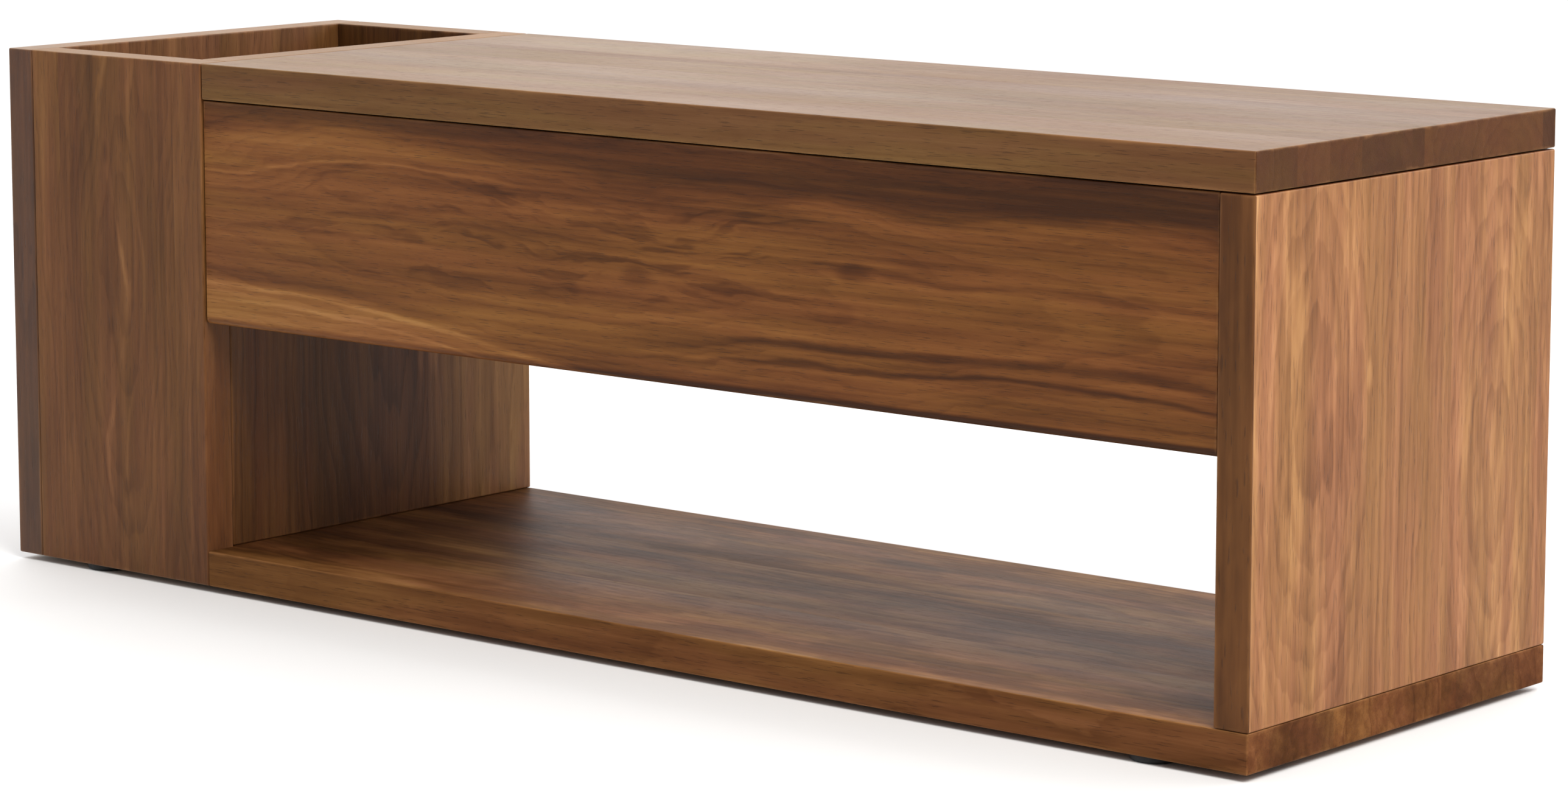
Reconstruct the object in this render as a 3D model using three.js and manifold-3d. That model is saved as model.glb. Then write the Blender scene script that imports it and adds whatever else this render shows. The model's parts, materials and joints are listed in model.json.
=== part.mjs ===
// A lift top coffee table in walnut: a long low box with an open top bin at its left end, an open
// shelf along the bottom, and a storage compartment under a lid that rises and comes forward on a
// pair of steel parallel arm lifters.
// Millimetres, +Z up, front towards -Y, left end towards -X, origin on the floor under the centre.

import * as THREE from 'three';
import { ConvexGeometry } from 'three/addons/geometries/ConvexGeometry.js';
import { mergeVertices } from 'three/addons/utils/BufferGeometryUtils.js';
import Module from 'manifold-3d';

const wasm = await Module();
wasm.setup();

// ---------------------------------------------------------------- driving dimensions

// Overall size and the board stock.
const LENGTH = 1220;
const DEPTH = 374;
const HEIGHT = 420;
const BOARD = 28;
const SEAM = 0.3;
const EDGE_CHAMFER = 1;

// The parts of the box.
const PILLAR_WIDTH = 225;
const APRON_THICK = 20;
const APRON_RECESS = 2;
const APRON_BOTTOM = 215;
const APRON_END_GAP = 1;
const FLOOR_THICK = 12;
const FLOOR_ABOVE_APRON_EDGE = 4;
const GROOVE_DEPTH = 6;
const LID_REST_GAP = 1;
const LID_SIDE_GAP = 1.5;

// Feet, bumpers and dowels.
const GLIDE_HEIGHT = 5;
const GLIDE_RADIUS = 18;
const GLIDE_STEM_RADIUS = 4;
const GLIDE_STEM_LENGTH = 14;
const GLIDE_END_INSET = 88;
const GLIDE_SIDE_INSET = 20;
const BUMPER_RADIUS = 4;
const BUMPER_HEIGHT = 2.4;
const BUMPER_END_INSET = 60;
const DOWEL_RADIUS = 4;
const DOWEL_LENGTH = 30;
const DOWEL_FROM_CENTRE = 110;
const HOLE_CLEARANCE = 0.3;

// The lifter: two equal arms between a bracket on the wall and a bracket under the lid.
const ARM_LENGTH = 160;
const ARM_WIDTH = 20;
const ARM_CLOSED_DEG = 6;
const ARM_SWING_DEG = 106;
const PIVOT_Y = -80;
const PIVOT_Z = 338;
const PIVOT_SPACING = 50;
const PIVOT_SLOPE_DEG = -27;
const PIN_RADIUS = 4;
const PIN_HEAD_RADIUS = 6.5;
const STOP_ALONG_ARM = 40;
const STOP_POST_RADIUS = 3;
const STOP_BUSH_RADIUS = 5.5;
const ANCHOR_POST_RADIUS = 2.5;
const ANCHOR_POST_Y = -19;
const ANCHOR_POST_Z = -3.6;

// Distances of the lifter's layers from the wall that it is screwed to.
const PLATE_FROM = 0.3;
const PLATE_TO = 3.3;
const ARM_FROM = 4.9;
const ARM_TO = 8.9;
const WEB_FROM = 10.2;
const WEB_TO = 13.2;
const FLANGE_TO = 38;
const STOP_POST_TO = 13;
const ANCHOR_POST_TO = 16;
const SPINDLE_TO = 25;

// The coil spring round the rear pivot.
const COIL_RADIUS = 7.5;
const WIRE_RADIUS = 1;
const COIL_TURNS = 4.5;
const COIL_FROM = 11.6;
const COIL_TO = 23;
const COIL_LEG = 24;
const COIL_END_RADIUS = 5.5;

// Countersunk screws.
const SCREW_LENGTH = 16;
const SCREW_RADIUS = 2;
const SCREW_HEAD_RADIUS = 3.8;
const SCREW_HEAD_HEIGHT = 2.2;
const SCREW_RECESS_SPAN = 4.4;
const SCREW_RECESS_WIDTH = 0.9;
const SCREW_RECESS_DEPTH = 1.5;
const LID_SCREW_FROM_WALL = 27;

const ROUND_SEGMENTS = 24;
const SCREW_SEGMENTS = 16;
const WIRE_SIDES = 8;

// ---------------------------------------------------------------- levels and faces

const LEFT = -LENGTH / 2;
const RIGHT = LENGTH / 2;
const FRONT = -DEPTH / 2;
const BACK = DEPTH / 2;
const BASE_BOTTOM = GLIDE_HEIGHT;
const BASE_TOP = BASE_BOTTOM + BOARD;
const BASE_MIDDLE = (BASE_BOTTOM + BASE_TOP) / 2;
const LID_BOTTOM = HEIGHT - BOARD;
const RIM_TOP = LID_BOTTOM - LID_REST_GAP;
const DIVIDER_RIGHT = LEFT + PILLAR_WIDTH;
const DIVIDER_LEFT = DIVIDER_RIGHT - BOARD;
const END_PANEL_INNER = RIGHT - BOARD;
const APRON_OUTER = BACK - APRON_RECESS;
const APRON_INNER = APRON_OUTER - APRON_THICK;
const FLOOR_BOTTOM = APRON_BOTTOM + FLOOR_ABOVE_APRON_EDGE;
const FLOOR_TOP = FLOOR_BOTTOM + FLOOR_THICK;

// ---------------------------------------------------------------- materials

function wood(colour) {
  return new THREE.MeshStandardMaterial({ color: colour, roughness: 0.55, metalness: 0 });
}

function walnutFront() {
  return wood(0x7b5234);
}

function walnutPillar() {
  return wood(0x6d4c36);
}

function walnutLid() {
  return wood(0x9a7452);
}

function walnutEnd() {
  return wood(0xb58761);
}

function beech() {
  return wood(0xd2ac7c);
}

function steel() {
  return new THREE.MeshStandardMaterial({ color: 0x9a9da1, roughness: 0.35, metalness: 0.9 });
}

function blackSteel() {
  return new THREE.MeshStandardMaterial({ color: 0x26282a, roughness: 0.5, metalness: 0.6 });
}

function springSteel() {
  return new THREE.MeshStandardMaterial({ color: 0x6f7378, roughness: 0.3, metalness: 0.95 });
}

function rubber() {
  return new THREE.MeshStandardMaterial({ color: 0x1b1b1c, roughness: 0.85, metalness: 0 });
}

function clearRubber() {
  return new THREE.MeshStandardMaterial({ color: 0xcfcbc2, roughness: 0.5, metalness: 0 });
}

// ---------------------------------------------------------------- solids

// Shares the vertices of a geometry, drops faces with no area and turns it the right way out.
function welded(geometry) {
  const bare = geometry.clone();
  bare.deleteAttribute('normal');
  bare.deleteAttribute('uv');
  const shared = mergeVertices(bare, 1e-4);
  const position = shared.getAttribute('position');
  const corners = [new THREE.Vector3(), new THREE.Vector3(), new THREE.Vector3()];
  const kept = [];
  let volume = 0;
  for (let i = 0; i < shared.index.count; i += 3) {
    const triple = [0, 1, 2].map((k) => shared.index.getX(i + k));
    if (new Set(triple).size === 3) {
      corners.forEach((corner, k) => corner.fromBufferAttribute(position, triple[k]));
      volume += corners[0].dot(corners[1].clone().cross(corners[2]));
      kept.push(triple);
    }
  }
  const ordered = volume < 0 ? kept.map(([a, b, c]) => [a, c, b]) : kept;
  shared.setIndex(ordered.flat());
  return shared;
}

function toSolid(geometry) {
  const shared = welded(geometry);
  return new wasm.Manifold(new wasm.Mesh({
    numProp: 3,
    vertProperties: new Float32Array(shared.getAttribute('position').array),
    triVerts: new Uint32Array(shared.index.array),
  }));
}

function fromSolid(solid) {
  const mesh = solid.getMesh();
  const points = new Float32Array(mesh.triVerts.length * 3);
  mesh.triVerts.forEach((vertex, i) => {
    for (let k = 0; k < 3; k += 1) {
      points[i * 3 + k] = mesh.vertProperties[vertex * mesh.numProp + k];
    }
  });
  const geometry = new THREE.BufferGeometry();
  geometry.setAttribute('position', new THREE.BufferAttribute(points, 3));
  geometry.computeVertexNormals();
  return geometry;
}

function cut(geometry, cutters) {
  let solid = toSolid(geometry);
  for (const cutter of cutters) {
    solid = solid.subtract(toSolid(cutter));
  }
  return fromSolid(solid);
}

function join(geometries) {
  let solid = toSolid(geometries[0]);
  for (const geometry of geometries.slice(1)) {
    solid = solid.add(toSolid(geometry));
  }
  return fromSolid(solid);
}

function finished(geometry) {
  const flat = welded(geometry).toNonIndexed();
  flat.computeVertexNormals();
  return flat;
}

// A plain block between two corners.
function block(x0, x1, y0, y1, z0, z1) {
  const geometry = new THREE.BoxGeometry(x1 - x0, y1 - y0, z1 - z0);
  return geometry.translate((x0 + x1) / 2, (y0 + y1) / 2, (z0 + z1) / 2);
}

// A board between two corners, with every edge eased.
function board(x0, x1, y0, y1, z0, z1) {
  const half = new THREE.Vector3((x1 - x0) / 2, (y1 - y0) / 2, (z1 - z0) / 2);
  const inner = half.clone().subScalar(EDGE_CHAMFER);
  const points = [];
  for (const sx of [-1, 1]) {
    for (const sy of [-1, 1]) {
      for (const sz of [-1, 1]) {
        points.push(new THREE.Vector3(sx * half.x, sy * inner.y, sz * inner.z));
        points.push(new THREE.Vector3(sx * inner.x, sy * half.y, sz * inner.z));
        points.push(new THREE.Vector3(sx * inner.x, sy * inner.y, sz * half.z));
      }
    }
  }
  const geometry = new ConvexGeometry(points);
  return geometry.translate((x0 + x1) / 2, (y0 + y1) / 2, (z0 + z1) / 2);
}

// A solid of revolution about a line: each pair is a radius and a distance along the line.
function turned(profile, origin, direction, segments = ROUND_SEGMENTS) {
  const points = profile.map(([radius, along]) => new THREE.Vector2(radius, along));
  const geometry = new THREE.LatheGeometry(points, segments);
  const turn = new THREE.Quaternion();
  turn.setFromUnitVectors(new THREE.Vector3(0, 1, 0), direction);
  geometry.applyQuaternion(turn);
  return geometry.translate(origin.x, origin.y, origin.z);
}

function rod(radius, from, to, origin, direction, segments = ROUND_SEGMENTS) {
  return turned([[0, from], [radius, from], [radius, to], [0, to]], origin, direction, segments);
}

// Points evenly round a circle, with no point repeated.
function ring(y, z, radius, count) {
  const points = [];
  for (let i = 0; i < count; i += 1) {
    const angle = (i / count) * Math.PI * 2;
    points.push(new THREE.Vector2(y + radius * Math.cos(angle), z + radius * Math.sin(angle)));
  }
  return points;
}

// A flat plate: an outline in the Y-Z plane, made solid between two X positions.
function plate(outline, holes, xa, xb) {
  const shape = outline.clone();
  for (const hole of holes) {
    shape.holes.push(new THREE.Path(ring(hole.y, hole.z, hole.radius, ROUND_SEGMENTS)));
  }
  const geometry = new THREE.ExtrudeGeometry(shape, {
    depth: Math.abs(xb - xa),
    bevelEnabled: false,
    curveSegments: ROUND_SEGMENTS / 2,
  });
  const toWorld = new THREE.Matrix4().makeBasis(
    new THREE.Vector3(0, 1, 0),
    new THREE.Vector3(0, 0, 1),
    new THREE.Vector3(1, 0, 0),
  );
  geometry.applyMatrix4(toWorld);
  return geometry.translate(Math.min(xa, xb), 0, 0);
}

// ---------------------------------------------------------------- scene graph

const table = new THREE.Group();
table.name = 'lift_top_coffee_table';

// Adds a piece: its geometry is moved to its own centre and the mesh is placed there.
function addPiece(name, geometry, material) {
  const own = finished(geometry);
  own.computeBoundingBox();
  const centre = own.boundingBox.getCenter(new THREE.Vector3());
  own.translate(-centre.x, -centre.y, -centre.z);
  const mesh = new THREE.Mesh(own, material);
  mesh.name = name;
  mesh.position.copy(centre);
  table.add(mesh);
  return mesh;
}

const UP = new THREE.Vector3(0, 0, 1);
const DOWN = new THREE.Vector3(0, 0, -1);
const RIGHTWARDS = new THREE.Vector3(1, 0, 0);

// ---------------------------------------------------------------- positions shared by pieces

const sides = { front: -1, back: 1 };

// The dowels lie flat between the base board and the left end panel, and stand upright between
// it and the two panels that rest on it.
const dowelSpots = [];
for (const [side, sign] of Object.entries(sides)) {
  const y = sign * DOWEL_FROM_CENTRE;
  const seam = new THREE.Vector3(LEFT + BOARD + SEAM / 2, y, BASE_MIDDLE);
  dowelSpots.push({ panel: 'left', side, centre: seam, along: RIGHTWARDS });
  const standing = { divider: (DIVIDER_LEFT + DIVIDER_RIGHT) / 2, right: RIGHT - BOARD / 2 };
  for (const [panel, x] of Object.entries(standing)) {
    const centre = new THREE.Vector3(x, y, BASE_TOP + SEAM / 2);
    dowelSpots.push({ panel, side, centre, along: UP });
  }
}

const glideSpots = [];
for (const [side, sign] of Object.entries(sides)) {
  const y = sign * (BACK - GLIDE_SIDE_INSET);
  glideSpots.push({ name: `${side}_left`, x: LEFT + GLIDE_END_INSET, y });
  glideSpots.push({ name: `${side}_right`, x: RIGHT - GLIDE_END_INSET, y });
}

const bumperSpots = [];
for (const [side, sign] of Object.entries(sides)) {
  const y = sign * (APRON_INNER + APRON_OUTER) / 2;
  bumperSpots.push({ name: `${side}_left`, side, x: DIVIDER_RIGHT + BUMPER_END_INSET, y });
  bumperSpots.push({ name: `${side}_right`, side, x: END_PANEL_INNER - BUMPER_END_INSET, y });
}

// The two lifters are the same piece by piece: one on the divider, one on the right end panel.
const lifters = [
  { name: 'left', wall: DIVIDER_RIGHT, inward: 1 },
  { name: 'right', wall: END_PANEL_INNER, inward: -1 },
];

function polar(length, degrees) {
  const angle = THREE.MathUtils.degToRad(degrees);
  return { y: length * Math.cos(angle), z: length * Math.sin(angle) };
}

function offset(point, step) {
  return { y: point.y + step.y, z: point.z + step.z };
}

const pivotStep = polar(PIVOT_SPACING, PIVOT_SLOPE_DEG);
const armReach = polar(ARM_LENGTH, ARM_CLOSED_DEG);
const baseFront = { y: PIVOT_Y, z: PIVOT_Z };
const baseRear = offset(baseFront, pivotStep);
const lidFront = offset(baseFront, armReach);
const lidRear = offset(lidFront, pivotStep);

// The rubber bush that the front arm comes to rest against when the lid is fully forward.
const openDegrees = ARM_CLOSED_DEG + ARM_SWING_DEG;
const stopSide = ARM_WIDTH / 2 + STOP_BUSH_RADIUS + HOLE_CLEARANCE;
const stopPost = offset(
  offset(baseFront, polar(STOP_ALONG_ARM, openDegrees)),
  polar(stopSide, openDegrees + 90),
);
const anchorPost = offset(baseRear, { y: ANCHOR_POST_Y, z: ANCHOR_POST_Z });

const wallScrews = [
  offset(baseFront, { y: 12, z: 34 }),
  offset(baseFront, { y: 57, z: -34 }),
  offset(baseFront, { y: 16, z: -34 }),
];
const lidScrewYs = [lidFront.y - 19, lidFront.y + 22, lidFront.y + 64];

function inwardFrom(lifter, distance) {
  return lifter.wall + lifter.inward * distance;
}

function lifterAxis(lifter) {
  return new THREE.Vector3(lifter.inward, 0, 0);
}

function wallPoint(lifter, spot, distance = 0) {
  return new THREE.Vector3(inwardFrom(lifter, distance), spot.y, spot.z);
}

// ---------------------------------------------------------------- screws and their holes

const screwProfile = [
  [0, 0],
  [SCREW_HEAD_RADIUS, 0],
  [SCREW_RADIUS, SCREW_HEAD_HEIGHT],
  [SCREW_RADIUS, SCREW_LENGTH - 3],
  [0.5, SCREW_LENGTH],
  [0, SCREW_LENGTH],
];
const screwHoleProfile = [
  [0, -1],
  [SCREW_HEAD_RADIUS + HOLE_CLEARANCE, -1],
  [SCREW_HEAD_RADIUS + HOLE_CLEARANCE, 0.1],
  [SCREW_RADIUS + HOLE_CLEARANCE, SCREW_HEAD_HEIGHT + 0.1],
  [SCREW_RADIUS + HOLE_CLEARANCE, SCREW_LENGTH + HOLE_CLEARANCE],
  [0, SCREW_LENGTH + HOLE_CLEARANCE],
];

function screw(head, direction) {
  const body = turned(screwProfile, head, direction, SCREW_SEGMENTS);
  const slots = [0, Math.PI / 2].map((angle) => {
    const slot = new THREE.BoxGeometry(SCREW_RECESS_SPAN, SCREW_RECESS_DEPTH * 2, SCREW_RECESS_WIDTH);
    slot.rotateY(angle);
    const turn = new THREE.Quaternion();
    turn.setFromUnitVectors(new THREE.Vector3(0, 1, 0), direction);
    slot.applyQuaternion(turn);
    return slot.translate(head.x, head.y, head.z);
  });
  return cut(body, slots);
}

function screwHole(head, direction) {
  return turned(screwHoleProfile, head, direction, SCREW_SEGMENTS);
}

function wallScrewHead(lifter, spot) {
  return wallPoint(lifter, spot, PLATE_TO);
}

function lidScrewHead(lifter, y) {
  const x = inwardFrom(lifter, LID_SCREW_FROM_WALL);
  return new THREE.Vector3(x, y, LID_BOTTOM - PLATE_TO);
}

function wallScrewHoles(lifter) {
  const outward = lifterAxis(lifter).negate();
  return wallScrews.map((spot) => screwHole(wallScrewHead(lifter, spot), outward));
}

function lidScrewHoles(lifter) {
  return lidScrewYs.map((y) => screwHole(lidScrewHead(lifter, y), UP));
}

// ---------------------------------------------------------------- the box

function dowelHoles(panel) {
  const spots = dowelSpots.filter((spot) => panel === undefined || spot.panel === panel);
  const reach = DOWEL_LENGTH / 2 + HOLE_CLEARANCE;
  const radius = DOWEL_RADIUS + HOLE_CLEARANCE;
  return spots.map((spot) => rod(radius, -reach, reach, spot.centre, spot.along));
}

function glideHoles() {
  return glideSpots.map((spot) => {
    const foot = new THREE.Vector3(spot.x, spot.y, BASE_BOTTOM);
    const depth = GLIDE_STEM_LENGTH + HOLE_CLEARANCE;
    return rod(GLIDE_STEM_RADIUS + HOLE_CLEARANCE, -1, depth, foot, UP);
  });
}

// The compartment floor stands in a groove that runs round the boards that hold it.
const floorHalfDepth = APRON_INNER + GROOVE_DEPTH;
const floorGroove = block(
  DIVIDER_RIGHT - GROOVE_DEPTH - SEAM,
  END_PANEL_INNER + GROOVE_DEPTH + SEAM,
  -floorHalfDepth - SEAM,
  floorHalfDepth + SEAM,
  FLOOR_BOTTOM - SEAM,
  FLOOR_TOP + SEAM,
);

// The left end panel and the pillar's front run down past the base board, which is notched round
// the pillar's front.
const pillarNotch = block(
  LEFT,
  DIVIDER_RIGHT + SEAM,
  FRONT - 1,
  FRONT + BOARD + SEAM,
  BASE_BOTTOM - 1,
  BASE_TOP + 1,
);

addPiece(
  'base_board',
  cut(
    board(LEFT + BOARD + SEAM, RIGHT, FRONT, BACK, BASE_BOTTOM, BASE_TOP),
    [pillarNotch, ...dowelHoles(), ...glideHoles()],
  ),
  walnutFront(),
);
addPiece(
  'left_end_panel',
  cut(board(LEFT, LEFT + BOARD, FRONT, BACK, BASE_BOTTOM, HEIGHT), dowelHoles('left')),
  walnutPillar(),
);
addPiece(
  'right_end_panel',
  cut(
    board(END_PANEL_INNER, RIGHT, FRONT, BACK, BASE_TOP + SEAM, RIM_TOP),
    [...dowelHoles('right'), floorGroove, ...wallScrewHoles(lifters[1])],
  ),
  walnutEnd(),
);
addPiece(
  'pillar_front_panel',
  cut(
    board(LEFT + BOARD + SEAM, DIVIDER_RIGHT, FRONT, FRONT + BOARD, BASE_BOTTOM, HEIGHT),
    [floorGroove, ...glideHoles()],
  ),
  walnutPillar(),
);
addPiece(
  'divider_panel',
  cut(
    board(DIVIDER_LEFT, DIVIDER_RIGHT, FRONT + BOARD + SEAM, BACK, BASE_TOP + SEAM, HEIGHT),
    [...dowelHoles('divider'), floorGroove, ...wallScrewHoles(lifters[0])],
  ),
  walnutPillar(),
);
addPiece(
  'bin_back_panel',
  board(LEFT + BOARD + SEAM, DIVIDER_LEFT - SEAM, BACK - BOARD, BACK, BASE_TOP + SEAM, HEIGHT),
  walnutPillar(),
);
addPiece(
  'compartment_floor',
  block(
    DIVIDER_RIGHT - GROOVE_DEPTH,
    END_PANEL_INNER + GROOVE_DEPTH,
    -floorHalfDepth,
    floorHalfDepth,
    FLOOR_BOTTOM,
    FLOOR_TOP,
  ),
  walnutFront(),
);

for (const [side, sign] of Object.entries(sides)) {
  const faces = [sign * APRON_INNER, sign * APRON_OUTER].sort((a, b) => a - b);
  const pockets = bumperSpots.filter((spot) => spot.side === side).map((spot) => {
    const mouth = new THREE.Vector3(spot.x, spot.y, RIM_TOP);
    const floor = BUMPER_HEIGHT - LID_REST_GAP + 2 * HOLE_CLEARANCE;
    return rod(BUMPER_RADIUS + HOLE_CLEARANCE, -1, floor, mouth, DOWN);
  });
  const apron = board(
    DIVIDER_RIGHT + APRON_END_GAP,
    END_PANEL_INNER - APRON_END_GAP,
    faces[0],
    faces[1],
    APRON_BOTTOM,
    RIM_TOP,
  );
  addPiece(`${side}_apron`, cut(apron, [floorGroove, ...pockets]), walnutFront());
}

// ---------------------------------------------------------------- the lid

addPiece(
  'lid_panel',
  cut(
    board(DIVIDER_RIGHT + LID_SIDE_GAP, RIGHT, FRONT, BACK, LID_BOTTOM, HEIGHT),
    lifters.flatMap((lifter) => lidScrewHoles(lifter)),
  ),
  walnutLid(),
);

// ---------------------------------------------------------------- feet, bumpers and dowels

for (const spot of glideSpots) {
  const profile = [
    [0, 0],
    [GLIDE_RADIUS - 1.2, 0],
    [GLIDE_RADIUS, 1.2],
    [GLIDE_RADIUS, GLIDE_HEIGHT - SEAM],
    [GLIDE_STEM_RADIUS, GLIDE_HEIGHT - SEAM],
    [GLIDE_STEM_RADIUS, GLIDE_HEIGHT + GLIDE_STEM_LENGTH - 1],
    [GLIDE_STEM_RADIUS - 1, GLIDE_HEIGHT + GLIDE_STEM_LENGTH],
    [0, GLIDE_HEIGHT + GLIDE_STEM_LENGTH],
  ];
  const foot = new THREE.Vector3(spot.x, spot.y, 0);
  addPiece(`glide_${spot.name}`, turned(profile, foot, UP), rubber());
}

for (const spot of bumperSpots) {
  const top = new THREE.Vector3(spot.x, spot.y, LID_BOTTOM - SEAM);
  const profile = [
    [0, 0],
    [BUMPER_RADIUS - 0.6, 0],
    [BUMPER_RADIUS, 0.6],
    [BUMPER_RADIUS, BUMPER_HEIGHT],
    [0, BUMPER_HEIGHT],
  ];
  addPiece(`lid_bumper_${spot.name}`, turned(profile, top, DOWN), clearRubber());
}

for (const spot of dowelSpots) {
  const half = DOWEL_LENGTH / 2;
  const profile = [
    [0, -half],
    [DOWEL_RADIUS - 1, -half],
    [DOWEL_RADIUS, 1 - half],
    [DOWEL_RADIUS, half - 1],
    [DOWEL_RADIUS - 1, half],
    [0, half],
  ];
  const dowel = turned(profile, spot.centre, spot.along);
  addPiece(`dowel_${spot.panel}_${spot.side}`, dowel, beech());
}

// ---------------------------------------------------------------- the lifters

// A closed outline through corner points given from an origin.
function outlineFrom(origin, corners) {
  return new THREE.Shape(corners.map(([y, z]) => new THREE.Vector2(origin.y + y, origin.z + z)));
}

// The long rounded outline of an arm between two pivots.
function armOutline(from, to) {
  const radius = ARM_WIDTH / 2;
  const turn = THREE.MathUtils.degToRad(ARM_CLOSED_DEG);
  const quarter = Math.PI / 2;
  const shape = new THREE.Shape();
  shape.absarc(to.y, to.z, radius, turn - quarter, turn + quarter, false);
  shape.absarc(from.y, from.z, radius, turn + quarter, turn + 3 * quarter, false);
  return shape;
}

const pivotHole = PIN_RADIUS + HOLE_CLEARANCE;

function pivotHoles(spots) {
  return spots.map((spot) => ({ y: spot.y, z: spot.z, radius: pivotHole }));
}

// The bracket on the wall, with a post for the stop bush and one that holds the spring's leg.
function baseBracket(lifter) {
  const outline = outlineFrom(baseFront, [
    [-46, 12],
    [-46, 42],
    [-40, 48],
    [20, 48],
    [26, 45],
    [64, 2],
    [67, -5],
    [67, -38],
    [62, -43],
    [8, -43],
    [2, -40],
  ]);
  const base = plate(
    outline,
    pivotHoles([baseFront, baseRear]),
    inwardFrom(lifter, PLATE_FROM),
    inwardFrom(lifter, PLATE_TO),
  );
  const inward = lifterAxis(lifter);
  const rooted = PLATE_TO - 1;
  const posts = [
    rod(STOP_POST_RADIUS, rooted, STOP_POST_TO, wallPoint(lifter, stopPost), inward),
    rod(ANCHOR_POST_RADIUS, rooted, ANCHOR_POST_TO, wallPoint(lifter, anchorPost), inward),
  ];
  return cut(join([base, ...posts]), wallScrewHoles(lifter));
}

// The bracket under the lid: a hanging web for the pivots and a flange for the screws.
function lidBracket(lifter) {
  const top = LID_BOTTOM - SEAM;
  const rise = top - lidFront.z;
  const outline = outlineFrom(lidFront, [
    [-15, rise],
    [-15, -8],
    [-11, -13],
    [36, -38],
    [54, -38],
    [60, -32],
    [60, rise],
  ]);
  const web = plate(
    outline,
    pivotHoles([lidFront, lidRear]),
    inwardFrom(lifter, WEB_FROM),
    inwardFrom(lifter, WEB_TO),
  );
  const xs = [WEB_FROM, FLANGE_TO].map((distance) => inwardFrom(lifter, distance));
  const flange = block(
    Math.min(...xs),
    Math.max(...xs),
    lidFront.y - 30,
    lidFront.y + 75,
    LID_BOTTOM - PLATE_TO,
    top,
  );
  return cut(join([web, flange]), lidScrewHoles(lifter));
}

// A riveted pivot pin on the wall bracket: shank, shoulder, journal, head and optional spindle.
function basePin(lifter, spot, withSpindle) {
  const shoulderTo = ARM_FROM - HOLE_CLEARANCE;
  const headFrom = ARM_TO + HOLE_CLEARANCE;
  const profile = [
    [0, PLATE_FROM + SEAM],
    [PIN_RADIUS, PLATE_FROM + SEAM],
    [PIN_RADIUS, PLATE_TO + SEAM],
    [PIN_HEAD_RADIUS, PLATE_TO + SEAM],
    [PIN_HEAD_RADIUS, shoulderTo],
    [PIN_RADIUS, shoulderTo],
    [PIN_RADIUS, headFrom],
    [PIN_HEAD_RADIUS, headFrom],
  ];
  if (withSpindle) {
    profile.push([PIN_HEAD_RADIUS, headFrom + 1]);
    profile.push([PIN_RADIUS, headFrom + 1]);
    profile.push([PIN_RADIUS, SPINDLE_TO]);
    profile.push([PIN_HEAD_RADIUS, SPINDLE_TO]);
    profile.push([PIN_HEAD_RADIUS, SPINDLE_TO + 1]);
    profile.push([PIN_HEAD_RADIUS - 1.5, SPINDLE_TO + 2]);
    profile.push([0, SPINDLE_TO + 2]);
  } else {
    profile.push([PIN_HEAD_RADIUS, headFrom + 1]);
    profile.push([PIN_HEAD_RADIUS - 1.5, headFrom + 2]);
    profile.push([0, headFrom + 2]);
  }
  return turned(profile, wallPoint(lifter, spot), lifterAxis(lifter));
}

// A riveted pivot pin on the lid bracket, with a head on either side.
function lidPin(lifter, spot) {
  const outerHeadTo = ARM_FROM - HOLE_CLEARANCE;
  const shoulderFrom = ARM_TO + HOLE_CLEARANCE;
  const innerHeadFrom = WEB_TO + SEAM;
  const profile = [
    [0, outerHeadTo - 2],
    [PIN_HEAD_RADIUS - 1.5, outerHeadTo - 2],
    [PIN_HEAD_RADIUS, outerHeadTo - 1],
    [PIN_HEAD_RADIUS, outerHeadTo],
    [PIN_RADIUS, outerHeadTo],
    [PIN_RADIUS, shoulderFrom],
    [PIN_HEAD_RADIUS, shoulderFrom],
    [PIN_HEAD_RADIUS, WEB_FROM - SEAM],
    [PIN_RADIUS, WEB_FROM - SEAM],
    [PIN_RADIUS, innerHeadFrom],
    [PIN_HEAD_RADIUS, innerHeadFrom],
    [PIN_HEAD_RADIUS, innerHeadFrom + 1],
    [PIN_HEAD_RADIUS - 1.5, innerHeadFrom + 2],
    [0, innerHeadFrom + 2],
  ];
  return turned(profile, wallPoint(lifter, spot), lifterAxis(lifter));
}

// The coil spring: a straight leg under the anchor post, the coils, and an end beside the spindle.
function torsionSpring(lifter) {
  const path = [];
  const at = (y, z, distance) => path.push(wallPoint(lifter, offset(baseRear, { y, z }), distance));
  const legSteps = 3;
  for (let i = 0; i < legSteps; i += 1) {
    at(-COIL_LEG + (i * COIL_LEG) / legSteps, -COIL_RADIUS, COIL_FROM);
  }
  const stepsPerTurn = 16;
  const steps = COIL_TURNS * stepsPerTurn;
  for (let i = 0; i <= steps; i += 1) {
    const angle = -Math.PI / 2 + (i / stepsPerTurn) * Math.PI * 2;
    const along = COIL_FROM + ((COIL_TO - COIL_FROM) * i) / steps;
    at(COIL_RADIUS * Math.cos(angle), COIL_RADIUS * Math.sin(angle), along);
  }
  const endSteps = 4;
  const lastAngle = -Math.PI / 2 + COIL_TURNS * Math.PI * 2;
  for (let i = 1; i <= endSteps; i += 1) {
    const angle = lastAngle + (i / stepsPerTurn) * Math.PI * 2;
    const radius = COIL_RADIUS + ((COIL_END_RADIUS - COIL_RADIUS) * i) / endSteps;
    at(radius * Math.cos(angle), radius * Math.sin(angle), COIL_TO);
  }
  const section = new THREE.Shape(ring(0, 0, WIRE_RADIUS, WIRE_SIDES));
  return new THREE.ExtrudeGeometry(section, {
    extrudePath: new THREE.CatmullRomCurve3(path),
    steps: path.length - 1,
    bevelEnabled: false,
  });
}

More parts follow.
